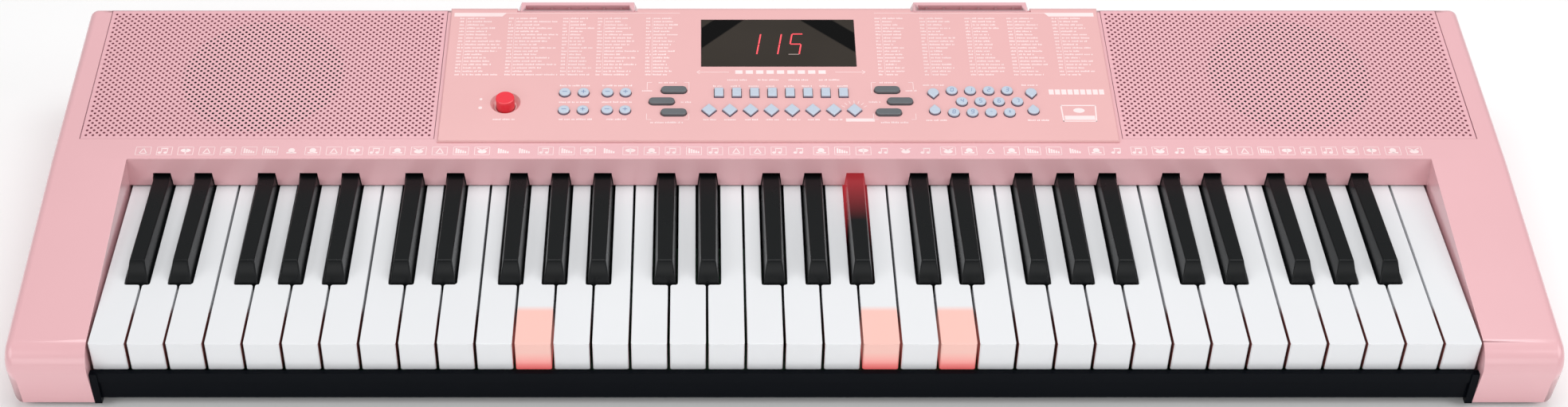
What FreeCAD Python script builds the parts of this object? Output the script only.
"""Toy electronic keyboard with 36 white and 25 black keys.

Shapes are built in the key datum: x across, y back and z up from the middle of
the white keys' front top edge. The deck frame (x, v, w) lies on the sloping deck:
v runs up the slope from the key well's back edge and w is the height above it.
Each piece is moved into the part frame when it is exported: origin at the middle
of the bounding box's bottom, +Y to the back, +Z up.
"""
import FreeCAD, Part
import math
import os

Vector = FreeCAD.Vector

# Driving dimensions, in millimetres.
WIDTH = 948.0
DEPTH = 314.2
FRONT_BULGE = 8.0          # the cheeks' noses stand this far in front of the keys
KEY_TOP_HEIGHT = 48.5      # white key tops above the table
CHEEK_DROP = 44.9          # white key tops down to the cheeks' bottom edge
BACK_Y = 304.0
WALL = 2.5
END_ROUND = 6.0
BACK_ROUND = 7.0
FOOT_ROUND = 7.0
DECK_WALL = 3.0

# Keys.
KEY_PITCH = 23.5
KEY_COUNT = 36
KEY_GAP = 1.5
KEY_HEIGHT = 21.0
KEY_SKIN = 2.2
KEY_SIDE = 1.8
NOTCH_WIDTH = 15.9
NOTCH_Y = 54.0
TAIL_END_Y = 208.0
BLACK_BASE = 13.5
BLACK_TOP = 9.2
BLACK_FRONT_Y = 55.4
BLACK_TOP_Y = 63.9
BLACK_RISE = 11.5
BLACK_DROP = 16.0
BLACK_FALL = 0.05          # the black keys' top line falls this much per mm towards the back
COMB_END_Y = 216.0
BLACK_SHIFTS = {0: 0.0, 1: -1.8, 3: -0.9, 4: -1.1, 5: -1.1}   # by the white key on the left, from even tails
ROD_Y = 200.0
ROD_Z = -12.0
ROD_RADIUS = 1.5
ROD_CLEARANCE = 0.1

# Key well and deck.
WELL_HALF = 424.0
WELL_EDGE = (154.0, 19.7)
WELL_FOOT = (150.0, 1.0)
DECK_BACK_RISE = 15.5      # deck height gained from the well's edge to the back
DECK_RUN = BACK_Y - WELL_EDGE[0]
DECK_ANGLE = math.degrees(math.atan2(DECK_BACK_RISE, DECK_RUN))
PANEL_HALF = 223.3
PANEL_V = (14.9, 149.0)
PANEL_RISE = 1.8
GRILLE_X = (225.5, 458.2)
GRILLE_V = (18.6, 146.0)
GRILLE_RECESS = 1.6
GRILLE_SHEET = 1.2
SPEAKER_X = 345.5
SPEAKER_V = 81.1
SPEAKER_RADIUS = 54.0
RIB_PITCH = 13.4
RIB_WIDTH = 2.4
DISPLAY_X = (-50.6, 54.6)
DISPLAY_V = (86.4, 134.2)
SOCKET_X = 136.0
SOCKET_HALF = (41.3, 39.0)  # half width at the foot and at the top
SOCKET_Y = (295.2, 306.2)
SOCKET_Z = (12.4, 36.4)
SLOT_HALF = 36.0
SLOT_Y = (297.4, 302.8)
SLOT_FLOOR = 16.4
SLOT_RIBS = 6

# Front bar and floor of the lower case.
BAR_TOP = -20.5
BAR_STEP = -28.0
BAR_BOTTOM = -42.2
FLOOR_BOTTOM = -40.7
FLOOR_TOP = -38.2
FLOOR_HALF = 463.5
FIN_X = (419.2, 423.7)
BATTERY_WELL = (-75.0, 75.0, 225.0, 285.0)
BATTERY_ROOF = -16.0
BOARD_BOTTOM = -34.0
BOARD_TOP = -32.4
SCREW_PLACES = [(450.0, 20.0), (450.0, 140.0), (450.0, 285.0), (215.0, 228.0), (215.0, 285.0)]
FEET_PLACES = [(-400.0, 25.0), (400.0, 25.0), (-400.0, 280.0), (400.0, 280.0), (0.0, 25.0), (0.0, 205.0)]
FOOT_RADIUS = 8.0
BOSS_RADIUS = 4.0
PILOT_RADIUS = 1.4
PILOT_DEPTH = 12.0
SCREW_HOLE_RADIUS = 1.8
HEAD_HOLE = (3.6, 1.5)     # radius and depth of the recess for a screw's head
SCREW_HEAD = (3.2, 1.45)
SHANK_RADIUS = 1.35
DRIVE = (2.2, 0.4, 0.8)    # half length, half width and depth of the cross recess
POST_RADIUS = 3.0
POST_REACH = 380
POST_PITCH = 95
POST_ROWS = (20.0, 118.0)
JACK_PLACES = [(20.0, 1.8), (40.0, 1.8), (64.0, 2.9)]   # x and socket radius
JACK_Z = 14.0
JACK_NOSE = 5.0            # half the side of a jack's square nose
JACK_GAP = 0.3
JACK_DEPTH = 14.0

# Buttons: places on the deck, travel and standing height.
CAP_RISE = 1.8
CAP_GAP = 0.35
WEB_TOP = -3.9
WEB_THICK = 1.1
POWER_PLACE = (-180.6, 51.0)
POWER_RADIUS = 6.25
POWER_TOP = 6.6
DISH_RADIUS = 10.15
DISH_FLOOR = -1.8
ROUND_COLUMNS = (-141.4, -128.9, -112.9, -100.9)
UPPER_ROW = 60.2
LOWER_ROW = 43.3
PILL_SIZE = (17.2, 6.0)
PILL_PLACES = [(-68.7, 62.8), (-76.7, 51.8), (-68.7, 41.2), (73.6, 62.8), (81.7, 51.8), (73.6, 41.2)]
TONE_CENTRE = 2.9
TILE_PITCH = 11.87
TILE_SIZE = (6.0, 8.2)
DIAMOND_PITCH = 13.77
DIAMOND_SIZE = (10.0, 11.4)
NUMBER_PITCH = 12.3
NUMBER_ROWS = [(116.7, 61.9), (122.7, 51.3), (116.6, 40.8)]
DROP_PLACES = [(104.2, 59.9, -1), (104.2, 42.9, 1), (169.5, 59.9, -1), (169.5, 42.9, 1)]
CIRCUIT_W = (-11.0, -9.4)
CIRCUIT_X = (-192.0, 178.0)
CIRCUIT_V = (30.0, 130.0)
BUTTON_WINDOW_X = (-197.0, 178.0)
BUTTON_WINDOW_V = (33.0, 70.0)
MODULE_X = (-17.0, 21.0)   # the three-digit light module
MODULE_V = (98.5, 123.5)
SWITCH_HALF = 2.5
SWITCH_TOP = -6.8
POWER_SWITCH_TOP = -8.6
KEY_BOARD = (-420.0, 420.0, 5.0, 125.0)
DOME_HALF = 3.0
DOME_Y = (104.0, 112.0)
WHITE_DOME_TOP = -26.4
BLACK_DOME_TOP = -21.8
LIGHT_HALF = 2.5
LIGHT_Y = (14.0, 19.0)
LIGHT_HEIGHT = 0.7
JACK_BLOCK_HALF = 6.5
JACK_BLOCK_Y = 276.0
JACK_BLOCK_Z = (8.0, 22.4)


def box(x0, x1, y0, y1, z0, z1):
    return Part.makeBox(x1 - x0, y1 - y0, z1 - z0, Vector(x0, y0, z0))


def cylinder(x, y, z0, z1, radius):
    return Part.makeCylinder(radius, z1 - z0, Vector(x, y, z0))


def face_of(points):
    corners = [Vector(*point) for point in points]
    return Part.Face(Part.makePolygon(corners + corners[:1]))


def prism_x(outline, x0, x1):
    return face_of([(x0, y, z) for y, z in outline]).extrude(Vector(x1 - x0, 0, 0))


def prism_y(outline, y0, y1):
    return face_of([(x, y0, z) for x, z in outline]).extrude(Vector(0, y1 - y0, 0))


def prism_z(outline, z0, z1):
    return face_of([(x, y, z0) for x, y in outline]).extrude(Vector(0, 0, z1 - z0))


def mirrored(shape):
    return shape.mirror(Vector(0, 0, 0), Vector(1, 0, 0))


def both_sides(shape):
    return [shape, mirrored(shape)]


def on_deck(shape):
    """Move a shape from the deck frame to the key datum."""
    place = FreeCAD.Placement(Vector(0, *WELL_EDGE), FreeCAD.Rotation(Vector(1, 0, 0), DECK_ANGLE))
    moved = shape.copy()
    moved.Placement = place.multiply(moved.Placement)
    return moved


def deck_z(y):
    """Deck height at a distance behind the keys' front."""
    return WELL_EDGE[1] + (y - WELL_EDGE[0]) * DECK_BACK_RISE / DECK_RUN


# --- Cases -------------------------------------------------------------------

def case_profile():
    """Side view of the casing, with a round nose and a soft back edge."""
    nose_radius = 16.0
    nose_y = nose_radius - FRONT_BULGE
    nose_z = -17.0
    nose_turn = 0.72
    slope = math.radians(8.0)
    foot_setback = 3.5
    diagonal = BACK_ROUND * (1 - math.sqrt(0.5))
    start = Vector(0, -FRONT_BULGE, nose_z)
    middle = Vector(
        0, nose_y - nose_radius * math.cos(nose_turn), nose_z + nose_radius * math.sin(nose_turn))
    end = Vector(0, nose_y - nose_radius * math.sin(slope), nose_z + nose_radius * math.cos(slope))
    edge = Vector(0, *WELL_EDGE)
    top = Vector(0, BACK_Y - BACK_ROUND, deck_z(BACK_Y - BACK_ROUND))
    corner = Vector(0, BACK_Y - diagonal, top.z - diagonal)
    back = Vector(0, BACK_Y, top.z - BACK_ROUND)
    back_foot = Vector(0, BACK_Y, -CHEEK_DROP)
    front_foot = Vector(0, -FRONT_BULGE + foot_setback, -CHEEK_DROP)
    edges = [
        Part.LineSegment(front_foot, start).toShape(),
        Part.Arc(start, middle, end).toShape(),
        Part.LineSegment(end, edge).toShape(),
        Part.LineSegment(edge, top).toShape(),
        Part.Arc(top, corner, back).toShape(),
        Part.LineSegment(back, back_foot).toShape(),
        Part.LineSegment(back_foot, front_foot).toShape(),
    ]
    return Part.Face(Part.Wire(edges))


def case_block():
    """The casing's outside as one solid, with soft ends and rounded bottom corners."""
    face = case_profile()
    half = WIDTH / 2
    face.translate(Vector(-half, 0, 0))
    block = face.extrude(Vector(WIDTH, 0, 0))
    end_edges = []
    for edge in block.Edges:
        ends = [vertex.Point for vertex in edge.Vertexes]
        on_end = all(abs(abs(end.x) - half) < 0.01 for end in ends) and abs(ends[0].x - ends[1].x) < 1
        on_foot = all(abs(end.z + CHEEK_DROP) < 0.01 for end in ends)
        if on_end and not on_foot:
            end_edges.append(edge)
    block = block.makeFillet(END_ROUND, end_edges)
    return block.common(rounded_foot(half, FOOT_ROUND))


def rounded_foot(half, radius):
    """Front view of the casing with round lower corners, as a deep block."""
    low = -CHEEK_DROP
    high = 80.0
    dip = radius * (1 - math.sqrt(0.5))
    edges = [
        Part.LineSegment(Vector(-half + radius, -20, low), Vector(half - radius, -20, low)).toShape(),
        Part.Arc(
            Vector(half - radius, -20, low), Vector(half - dip, -20, low + dip),
            Vector(half, -20, low + radius)).toShape(),
        Part.LineSegment(Vector(half, -20, low + radius), Vector(half, -20, high)).toShape(),
        Part.LineSegment(Vector(half, -20, high), Vector(-half, -20, high)).toShape(),
        Part.LineSegment(Vector(-half, -20, high), Vector(-half, -20, low + radius)).toShape(),
        Part.Arc(
            Vector(-half, -20, low + radius), Vector(-half + dip, -20, low + dip),
            Vector(-half + radius, -20, low)).toShape(),
    ]
    return Part.Face(Part.Wire(edges)).extrude(Vector(0, DEPTH + 60, 0))


def case_cavity():
    half = WIDTH / 2 - WALL
    outline = [
        (-2.2, -CHEEK_DROP - 1.0),
        (-5.2, -17.0),
        (-1.6, -7.2),
        (6.0, -4.2),
        (WELL_EDGE[0], WELL_EDGE[1] - DECK_WALL),
        (BACK_Y - WALL, deck_z(BACK_Y - WALL) - DECK_WALL),
        (BACK_Y - WALL, -CHEEK_DROP - 1.0),
    ]
    body = prism_x(outline, -half, half)
    lip = 7.0
    corner = [
        (half + 1, -CHEEK_DROP - 2.0),
        (half + 1, -CHEEK_DROP + lip + 3.5),
        (half, -CHEEK_DROP + lip + 2.5),
        (half - lip, -CHEEK_DROP + 2.5),
        (half - lip, -CHEEK_DROP - 2.0),
    ]
    block = prism_y(corner, -10.0, BACK_Y)
    return body.cut(both_sides(block))


def black_window(x):
    """The slot in the well's wall that a black key passes through."""
    foot_gap = 0.5
    head_gap = 1.1
    foot = BLACK_BASE / 2 + foot_gap
    head = BLACK_TOP / 2 + head_gap
    top = 9.6
    outline = [(x - foot, -2.0), (x + foot, -2.0), (x + head, top), (x - head, top)]
    return prism_y(outline, WELL_FOOT[0] - 5.0, WELL_EDGE[0] + 8.0)


def speaker_opening():
    """Round opening with a lattice of diagonal ribs left standing."""
    disc = cylinder(SPEAKER_X, SPEAKER_V, -6.0, 0.0, SPEAKER_RADIUS)
    ribs = []
    count = int(SPEAKER_RADIUS // RIB_PITCH) + 1
    reach = SPEAKER_RADIUS + 5.0
    for turn in (45.0, -45.0):
        for step in range(-count, count + 1):
            middle = step * RIB_PITCH
            rib = box(-reach, reach, middle - RIB_WIDTH / 2, middle + RIB_WIDTH / 2, -7.0, 1.0)
            rib.rotate(Vector(0, 0, 0), Vector(0, 0, 1), turn)
            rib.translate(Vector(SPEAKER_X, SPEAKER_V, 0))
            ribs.append(rib)
    return disc.cut(ribs)


def stand_socket(x):
    """Outer block of a music-stand socket on the back edge, with slanted ends."""
    foot, top = SOCKET_HALF
    low, high = SOCKET_Z
    shoulder = high - 6.0
    outline = [
        (x - foot, low), (x + foot, low), (x + foot, shoulder), (x + top, high),
        (x - top, high), (x - foot, shoulder),
    ]
    return prism_y(outline, *SOCKET_Y)


def stand_slot(x):
    """The slot for the stand's tongue, with short ribs on its rear wall."""
    slot = box(x - SLOT_HALF, x + SLOT_HALF, *SLOT_Y, SLOT_FLOOR, SOCKET_Z[1] + 3)
    ribs = []
    pitch = 2 * SLOT_HALF / SLOT_RIBS
    for step in range(SLOT_RIBS):
        middle = x - SLOT_HALF + (step + 0.5) * pitch
        rib = box(middle - 0.8, middle + 0.8, SLOT_Y[1] - 1.0, SLOT_Y[1], SLOT_FLOOR - 1, SOCKET_Z[1] - 1.5)
        ribs.append(rib)
    return slot.cut(ribs)


def all_screw_places():
    return [(side * x, y) for x, y in SCREW_PLACES for side in (-1, 1)]


def upper_case():
    outside = case_block()
    shell = outside.cut(case_cavity())
    well = [(-20, -60), (-20, 60), (WELL_EDGE[0], 60), (WELL_EDGE[0], -60)]
    shell = shell.cut(prism_x(well, -WELL_HALF, WELL_HALF))
    added = []
    for side in (-1, 1):
        x0, x1 = sorted((side * WELL_HALF, side * (WELL_HALF + WALL)))
        cheek = outside.common(box(x0, x1, -10.0, ROD_Y + 12.0, FLOOR_TOP + 0.3, 40.0))
        cheek = cheek.cut(rod(ROD_RADIUS + ROD_CLEARANCE))
        added.append(cheek)
    wall = [
        WELL_EDGE, WELL_FOOT,
        (WELL_FOOT[0] + WALL, WELL_FOOT[1]), (WELL_EDGE[0] + WALL, WELL_EDGE[1] - 1.0),
    ]
    wall_plate = prism_x(wall, -WELL_HALF - 1.0, WELL_HALF + 1.0)
    added.append(wall_plate.cut([black_window(x) for x in black_centres()]))
    for x, y in all_screw_places():
        boss = outside.common(cylinder(x, y, FLOOR_TOP, 45.0, BOSS_RADIUS))
        added.append(boss.cut(cylinder(x, y, FLOOR_TOP - 1, FLOOR_TOP + PILOT_DEPTH, PILOT_RADIUS)))
    added += [stand_socket(-SOCKET_X), stand_socket(SOCKET_X)]
    shell = shell.fuse(added)
    v0, v1 = GRILLE_V
    cuts = []
    recess = box(GRILLE_X[0], GRILLE_X[1], v0, v1, -GRILLE_RECESS, 5.0)
    cuts += both_sides(on_deck(recess))
    cuts += both_sides(on_deck(speaker_opening()))
    cuts.append(on_deck(box(*BUTTON_WINDOW_X, *BUTTON_WINDOW_V, -5.0, 1.0)))
    x0, x1 = DISPLAY_X
    v0, v1 = DISPLAY_V
    ledge = 3.0
    cuts.append(on_deck(box(x0 + ledge, x1 - ledge, v0 + ledge, v1 - ledge, -5.0, 1.0)))
    cuts += [stand_slot(-SOCKET_X), stand_slot(SOCKET_X)]
    half = JACK_NOSE + JACK_GAP
    for x, _ in JACK_PLACES:
        cuts.append(box(x - half, x + half, BACK_Y - 10.0, BACK_Y + 10.0, JACK_Z - half, JACK_Z + half))
    return shell.cut(cuts).removeSplitter()


def lower_case():
    floor = box(-FLOOR_HALF, FLOOR_HALF, -1.8, BACK_Y - WALL - 0.5, FLOOR_BOTTOM, FLOOR_TOP)
    bar = [
        (-4.5, BAR_TOP), (-1.2, BAR_TOP), (-1.2, FLOOR_TOP), (-1.0, BAR_BOTTOM),
        (-3.0, BAR_BOTTOM), (-3.0, BAR_STEP - 0.6), (-4.5, BAR_STEP),
    ]
    added = [prism_x(bar, -FIN_X[0], FIN_X[0])]
    fin = box(FIN_X[0], FIN_X[1], -5.5, -1.2, -CHEEK_DROP, BAR_TOP)
    added += both_sides(fin)
    x0, x1, y0, y1 = BATTERY_WELL
    added.append(box(x0, x1, y0, y1, FLOOR_BOTTOM, BATTERY_ROOF))
    for x in range(-POST_REACH, POST_REACH + 1, POST_PITCH):
        for y in POST_ROWS:
            added.append(cylinder(x, y, FLOOR_TOP - 0.5, BOARD_BOTTOM, POST_RADIUS))
    case = floor.fuse(added)
    wall = 2.0
    cuts = [box(x0 + wall, x1 - wall, y0 + wall, y1 - wall, FLOOR_BOTTOM - 1, BATTERY_ROOF - wall)]
    head_radius, head_depth = HEAD_HOLE
    for x, y in all_screw_places():
        cuts.append(cylinder(x, y, FLOOR_BOTTOM - 1, FLOOR_TOP + 1, SCREW_HOLE_RADIUS))
        cuts.append(cylinder(x, y, FLOOR_BOTTOM - 1, FLOOR_BOTTOM + head_depth, head_radius))
    return case.cut(cuts).removeSplitter()


def battery_door():
    x0, x1, y0, y1 = BATTERY_WELL
    gap = 2.4
    thickness = 1.8
    plate = box(x0 + gap, x1 - gap, y0 + gap, y1 - gap, FLOOR_BOTTOM, FLOOR_BOTTOM + thickness)
    grips = []
    grip_count = 4
    grip_half = 20.0
    grip_height = 0.8
    for step in range(grip_count):
        front = y0 + 10 + 4 * step
        grips.append(box(-grip_half, grip_half, front, front + 2, FLOOR_BOTTOM - grip_height, FLOOR_BOTTOM))
    return plate.fuse(grips).removeSplitter()


def case_screws():
    screws = []
    head_radius, head_depth = SCREW_HEAD
    long, narrow, deep = DRIVE
    for x, y in all_screw_places():
        head = cylinder(x, y, FLOOR_BOTTOM, FLOOR_BOTTOM + head_depth, head_radius)
        slot = box(x - long, x + long, y - narrow, y + narrow, FLOOR_BOTTOM - 0.1, FLOOR_BOTTOM + deep)
        cross = box(x - narrow, x + narrow, y - long, y + long, FLOOR_BOTTOM - 0.1, FLOOR_BOTTOM + deep)
        shank = cylinder(x, y, FLOOR_BOTTOM + head_depth, FLOOR_TOP + PILOT_DEPTH - 1.0, SHANK_RADIUS)
        screws.append(head.cut([slot, cross]).fuse(shank).removeSplitter())
    return Part.makeCompound(screws)


def rubber_feet():
    foot_bottom = -KEY_TOP_HEIGHT
    edge_chamfer = 1.2
    feet = []
    for x, y in FEET_PLACES:
        foot = cylinder(x, y, foot_bottom, FLOOR_BOTTOM, FOOT_RADIUS)
        rim = [edge for edge in foot.Edges if edge.Closed and abs(edge.CenterOfMass.z - foot_bottom) < 0.01]
        feet.append(foot.makeChamfer(edge_chamfer, rim))
    return Part.makeCompound(feet)


# --- Keys --------------------------------------------------------------------

def notch_centres():
    """Middles of the five black-key notches, from the left end of an octave."""
    low_tail = (3 * KEY_PITCH - 2 * NOTCH_WIDTH) / 3
    high_tail = (4 * KEY_PITCH - 3 * NOTCH_WIDTH) / 4
    even = [low_tail + NOTCH_WIDTH / 2, 2 * low_tail + 1.5 * NOTCH_WIDTH]
    for step in range(3):
        even.append(3 * KEY_PITCH + (step + 1) * high_tail + (step + 0.5) * NOTCH_WIDTH)
    return {key: centre + shift for centre, (key, shift) in zip(even, BLACK_SHIFTS.items())}


def octave_left(octave):
    return -KEY_COUNT * KEY_PITCH / 2 + 7 * octave * KEY_PITCH


def black_centres():
    octaves = KEY_COUNT // 7
    return [octave_left(octave) + centre for octave in range(octaves) for centre in notch_centres().values()]


def tail_span(index):
    """Left and right side of a white key's narrow tail."""
    octave, note = divmod(index, 7)
    start = octave_left(octave)
    left = start + note * KEY_PITCH + KEY_GAP / 2
    right = left + KEY_PITCH - KEY_GAP
    notches = notch_centres()
    if note - 1 in notches:
        left = start + notches[note - 1] + NOTCH_WIDTH / 2
    if note in notches and index < KEY_COUNT - 1:
        right = start + notches[note] - NOTCH_WIDTH / 2
    return left, right


def key_outline(left, right, tail_left, tail_right, front, notch, end):
    points = [(left, front), (right, front), (right, notch)]
    if tail_right < right:
        points.append((tail_right, notch))
    points += [(tail_right, end), (tail_left, end)]
    if tail_left > left:
        points.append((tail_left, notch))
    points.append((left, notch))
    return points


def rod(radius):
    half = WELL_HALF + WALL
    return Part.makeCylinder(radius, 2 * half, Vector(-half, ROD_Y, ROD_Z), Vector(1, 0, 0))


def white_key(index):
    left = -KEY_COUNT * KEY_PITCH / 2 + index * KEY_PITCH + KEY_GAP / 2
    right = left + KEY_PITCH - KEY_GAP
    tail_left, tail_right = tail_span(index)
    outside = key_outline(left, right, tail_left, tail_right, 0.0, NOTCH_Y, TAIL_END_Y)
    side = KEY_SIDE
    inside = key_outline(
        left + side, right - side, tail_left + side, tail_right - side, side, NOTCH_Y - side, ROD_Y - 8.0)
    key = prism_z(outside, -KEY_HEIGHT, 0.0)
    key = key.cut(prism_z(inside, -KEY_HEIGHT - 1, -KEY_SKIN))
    return key.cut(rod(ROD_RADIUS + ROD_CLEARANCE))


def black_body(x, inset, bottom):
    """A black key's outside, or its hollow when it is inset."""
    half_base = BLACK_BASE / 2 - inset
    half_top = BLACK_TOP / 2 - inset
    front = BLACK_FRONT_Y + inset
    back = COMB_END_Y if inset == 0 else ROD_Y - 8.0
    section = [
        (x - half_base, bottom), (x + half_base, bottom), (x + half_base, 0.0),
        (x + half_top, BLACK_RISE), (x - half_top, BLACK_RISE), (x - half_base, 0.0),
    ]
    fall = BLACK_FALL * (back - BLACK_TOP_Y)
    side_view = [
        (front, bottom), (front, 0.0), (BLACK_TOP_Y + inset, BLACK_RISE - inset),
        (back, BLACK_RISE - inset - fall), (back, bottom),
    ]
    return prism_y(section, front, back).common(prism_x(side_view, x - half_base - 1, x + half_base + 1))


def black_key_comb(octave):
    """Five black keys moulded on one rear rail, hollow underneath."""
    centres = [octave_left(octave) + centre for centre in notch_centres().values()]
    bodies = [black_body(x, 0.0, -BLACK_DROP).cut(black_body(x, KEY_SIDE, -BLACK_DROP - 1)) for x in centres]
    rail = box(centres[0], centres[-1], TAIL_END_Y + 2.5, COMB_END_Y, -BLACK_DROP, -6.0)
    comb = bodies[0].fuse(bodies[1:] + [rail])
    return comb.cut(rod(ROD_RADIUS + ROD_CLEARANCE)).removeSplitter()


def key_contact_board():
    """Board under the keys, with a rubber dome per key and a light under each white key."""
    board = box(*KEY_BOARD, BOARD_BOTTOM, BOARD_TOP)
    added = []
    for index in range(KEY_COUNT):
        x = -KEY_COUNT * KEY_PITCH / 2 + (index + 0.5) * KEY_PITCH
        left, right = tail_span(index)
        middle = (left + right) / 2
        added.append(box(middle - DOME_HALF, middle + DOME_HALF, *DOME_Y, BOARD_TOP, WHITE_DOME_TOP))
        added.append(box(x - LIGHT_HALF, x + LIGHT_HALF, *LIGHT_Y, BOARD_TOP, BOARD_TOP + LIGHT_HEIGHT))
    for x in black_centres():
        added.append(box(x - DOME_HALF, x + DOME_HALF, *DOME_Y, BOARD_TOP, BLACK_DOME_TOP))
    return board.fuse(added).removeSplitter()


# --- Panel, buttons and display ----------------------------------------------

def stadium(width, depth):
    half = (width - depth) / 2
    radius = depth / 2
    edges = [
        Part.LineSegment(Vector(-half, -radius, 0), Vector(half, -radius, 0)).toShape(),
        Part.Arc(Vector(half, -radius, 0), Vector(half + radius, 0, 0), Vector(half, radius, 0)).toShape(),
        Part.LineSegment(Vector(half, radius, 0), Vector(-half, radius, 0)).toShape(),
        Part.Arc(Vector(-half, radius, 0), Vector(-half - radius, 0, 0), Vector(-half, -radius, 0)).toShape(),
    ]
    return Part.Face(Part.Wire(edges))


def drop(radius, direction):
    """A round button drawn out to a point, up or down the deck."""
    lean = math.radians(20)
    side = Vector(radius * math.cos(lean), direction * radius * math.sin(lean), 0)
    other = Vector(-side.x, side.y, 0)
    foot = Vector(0, -direction * radius, 0)
    tip = Vector(0, direction * radius * 1.45, 0)
    edges = [
        Part.Arc(side, foot, other).toShape(),
        Part.LineSegment(other, tip).toShape(),
        Part.LineSegment(tip, side).toShape(),
    ]
    return Part.Face(Part.Wire(edges))


def cap_face(kind, grow):
    """Outline of one kind of cap about its middle, grown for its hole."""
    if kind == "round":
        return Part.Face(Part.Wire(Part.makeCircle(3.75 + grow)))
    if kind == "power":
        return Part.Face(Part.Wire(Part.makeCircle(POWER_RADIUS + grow)))
    if kind == "pill":
        return stadium(PILL_SIZE[0] + 2 * grow, PILL_SIZE[1] + 2 * grow)
    if kind == "tile":
        half_x = TILE_SIZE[0] / 2 + grow
        half_y = TILE_SIZE[1] / 2 + grow
        corners = [(-half_x, -half_y, 0), (half_x, -half_y, 0), (half_x, half_y, 0), (-half_x, half_y, 0)]
        return face_of(corners)
    if kind == "diamond":
        half_x = DIAMOND_SIZE[0] / 2 + 1.4 * grow
        half_y = DIAMOND_SIZE[1] / 2 + 1.4 * grow
        return face_of([(0, -half_y, 0), (half_x, 0, 0), (0, half_y, 0), (-half_x, 0, 0)])
    return drop(3.7 + grow, 1 if kind == "drop_up" else -1)


def cap(kind, x, v, bottom, top, grow=0.0):
    face = cap_face(kind, grow)
    face.translate(Vector(x, v, bottom))
    return face.extrude(Vector(0, 0, top - bottom))


def row(kind, centre, pitch, count, v):
    first = centre - pitch * (count - 1) / 2
    return [(kind, first + pitch * step, v) for step in range(count)]


def button_groups():
    """Caps of each keypad: name to (kind, x, v)."""
    functions = [("round", x, v) for v in (UPPER_ROW, LOWER_ROW) for x in ROUND_COLUMNS]
    tones = row("tile", TONE_CENTRE, TILE_PITCH, 8, UPPER_ROW)
    tones += row("diamond", TONE_CENTRE, DIAMOND_PITCH, 8, LOWER_ROW)
    numbers = [("round", x + NUMBER_PITCH * step, v) for x, v in NUMBER_ROWS for step in range(4)]
    numbers += [("drop_up" if way > 0 else "drop_down", x, v) for x, v, way in DROP_PLACES]
    return {
        "power_button": [("power",) + POWER_PLACE],
        "function_buttons": functions,
        "selector_buttons": [("pill", x, v) for x, v in PILL_PLACES],
        "tone_buttons": tones,
        "number_buttons": numbers,
    }


def web_for(name, caps):
    """Thin plate under the panel that carries a group's caps."""
    bottom = WEB_TOP - WEB_THICK
    if name == "power_button":
        return cylinder(*POWER_PLACE, bottom, WEB_TOP, POWER_RADIUS + 1.8)
    if name == "selector_buttons":
        left = box(-87.5, -58.2, 35.0, 74.0, bottom, WEB_TOP)
        right = box(63.2, 92.5, 35.0, 74.0, bottom, WEB_TOP)
        return left.fuse([right, box(-60.0, 65.0, 70.5, 74.0, bottom, WEB_TOP)])
    xs = [x for _, x, _ in caps]
    vs = [v for _, _, v in caps]
    return box(min(xs) - 5.6, max(xs) + 5.6, min(vs) - 6.2, max(vs) + 6.2, bottom, WEB_TOP)


def keypad(name, caps):
    top = POWER_TOP if name == "power_button" else PANEL_RISE + CAP_RISE
    bottom = WEB_TOP - WEB_THICK
    solids = [cap(kind, x, v, bottom, top) for kind, x, v in caps]
    return on_deck(web_for(name, caps).fuse(solids).removeSplitter())


def dish():
    """Sunk ring round the power button."""
    x, v = POWER_PLACE
    return Part.makeCone(7.4, DISH_RADIUS, PANEL_RISE - DISH_FLOOR, Vector(x, v, DISH_FLOOR))


def panel_plate():
    """A skin that lies on the deck and follows its round back edge, in the key datum."""
    plate = box(-PANEL_HALF, PANEL_HALF, PANEL_V[0], PANEL_V[1], -10.0, PANEL_RISE)
    rim = []
    for edge in plate.Edges:
        middle = edge.CenterOfMass
        if abs(middle.z - PANEL_RISE) < 0.01 and middle.y < PANEL_V[1] - 1.0:
            rim.append(edge)
    plate = on_deck(plate.makeChamfer(0.8, rim))
    case = case_block()
    cover = case.copy()
    lift = math.radians(DECK_ANGLE)
    cover.translate(Vector(0, -PANEL_RISE * math.sin(lift), PANEL_RISE * math.cos(lift)))
    plate = plate.common(cover).cut(case)
    gap = 0.2
    foot = SOCKET_HALF[0] + gap
    for side in (-1, 1):
        x = side * SOCKET_X
        plate = plate.cut(box(x - foot, x + foot, SOCKET_Y[0] - gap, SOCKET_Y[1], 0.0, 60.0))
    return plate


def control_panel(groups):
    plate = panel_plate().fuse(on_deck(cylinder(*POWER_PLACE, DISH_FLOOR - 0.9, 0.0, DISH_RADIUS + 1.2)))
    cuts = [dish()]
    for caps in groups.values():
        cuts += [cap(kind, x, v, -5.0, PANEL_RISE + 1, CAP_GAP) for kind, x, v in caps]
    cuts.append(box(DISPLAY_X[0], DISPLAY_X[1], DISPLAY_V[0], DISPLAY_V[1], -1.0, PANEL_RISE + 1))
    return plate.cut([on_deck(cut) for cut in cuts]).removeSplitter()


def display_window():
    gap = 0.3
    x0, x1 = DISPLAY_X
    v0, v1 = DISPLAY_V
    return on_deck(box(x0 + gap, x1 - gap, v0 + gap, v1 - gap, 0.0, PANEL_RISE + 0.3))


def led_display():
    """Three-digit module: a block with a raised light window for each digit."""
    x0, x1 = MODULE_X
    v0, v1 = MODULE_V
    face = -2.0
    window_top = -1.2
    window_half = 4.5
    border = 3.0
    module = box(x0, x1, v0, v1, CIRCUIT_W[1], face)
    for digit in range(3):
        middle = x0 + (digit + 0.5) * (x1 - x0) / 3
        left, right = middle - window_half, middle + window_half
        module = module.fuse(box(left, right, v0 + border, v1 - border, face, window_top))
    return on_deck(module.removeSplitter())


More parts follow.
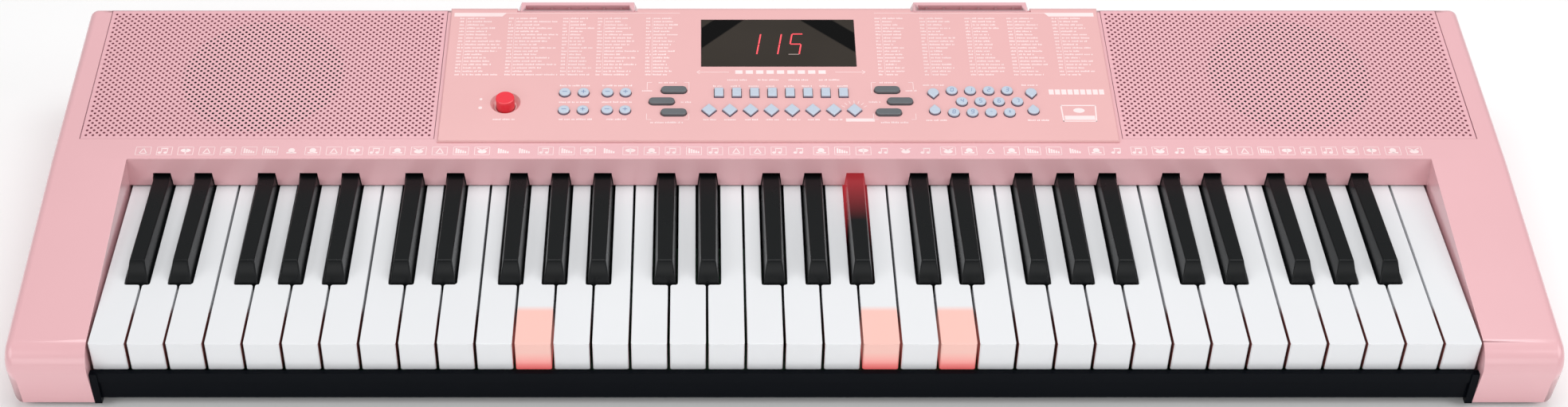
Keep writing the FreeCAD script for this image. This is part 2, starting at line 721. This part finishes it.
def grille(side):
    x0, x1 = sorted((side * (GRILLE_X[0] + 0.5), side * (GRILLE_X[1] - 0.5)))
    bottom = -GRILLE_RECESS
    return on_deck(box(x0, x1, GRILLE_V[0] + 0.5, GRILLE_V[1] - 0.5, bottom, bottom + GRILLE_SHEET))


def speaker():
    """Shallow round driver: flange, cone, basket and magnet in one turned solid."""
    outline = [
        (57.0, -3.05), (57.0, -5.0), (51.0, -5.5), (27.0, -16.0), (18.0, -16.0), (18.0, -25.0),
        (0.0, -25.0), (0.0, -10.0), (11.0, -12.5), (47.0, -4.8), (50.0, -3.05),
    ]
    face = face_of([(SPEAKER_X + r, SPEAKER_V, w) for r, w in outline])
    return on_deck(face.revolve(Vector(SPEAKER_X, SPEAKER_V, 0), Vector(0, 0, 1), 360))


def main_board(groups):
    """Circuit board below the panel, with a switch under each cap and the rear jacks."""
    bottom, face = CIRCUIT_W
    board = box(CIRCUIT_X[0], CIRCUIT_X[1], CIRCUIT_V[0], CIRCUIT_V[1], bottom, face)
    switches = []
    for name, caps in groups.items():
        top = POWER_SWITCH_TOP if name == "power_button" else SWITCH_TOP
        half = SWITCH_HALF
        switches += [box(x - half, x + half, v - half, v + half, face, top) for _, x, v in caps]
    board = on_deck(board.fuse(switches).removeSplitter())
    jacks = []
    inner = BACK_Y - WALL
    for x, radius in JACK_PLACES:
        half = JACK_BLOCK_HALF
        block = box(x - half, x + half, JACK_BLOCK_Y, inner - JACK_GAP, *JACK_BLOCK_Z)
        left, right = x - JACK_NOSE, x + JACK_NOSE
        low, high = JACK_Z - JACK_NOSE, JACK_Z + JACK_NOSE
        nose = box(left, right, inner - JACK_GAP, BACK_Y + 0.2, low, high)
        mouth = Vector(x, BACK_Y + 0.2 - JACK_DEPTH, JACK_Z)
        bore = Part.makeCylinder(radius, JACK_DEPTH + 1.0, mouth, Vector(0, 1, 0))
        jacks.append(block.fuse(nose).cut(bore))
    return board.fuse(jacks).removeSplitter()


# --- Export ------------------------------------------------------------------

def build_parts():
    groups = button_groups()
    driver = speaker()
    parts = {
        "upper_case": upper_case(),
        "lower_case": lower_case(),
        "control_panel": control_panel(groups),
        "left_speaker_grille": grille(-1),
        "right_speaker_grille": grille(1),
        "display_window": display_window(),
        "led_display": led_display(),
        "speakers": Part.makeCompound(both_sides(driver)),
        "main_board": main_board(groups),
        "key_contact_board": key_contact_board(),
        "key_hinge_rod": rod(ROD_RADIUS),
        "battery_door": battery_door(),
        "rubber_feet": rubber_feet(),
        "case_screws": case_screws(),
    }
    for name, caps in groups.items():
        parts[name] = keypad(name, caps)
    for octave in range(KEY_COUNT // 7):
        parts["black_key_comb_%d" % (octave + 1)] = black_key_comb(octave)
    for index in range(KEY_COUNT):
        parts["white_key_%02d" % (index + 1)] = white_key(index)
    return parts


def main():
    os.makedirs("parts", exist_ok=True)
    datum = Vector(0, FRONT_BULGE - DEPTH / 2, KEY_TOP_HEIGHT)
    for name, shape in build_parts().items():
        shape.translate(datum)
        shape.exportStep("parts/%s.step" % name)


main()
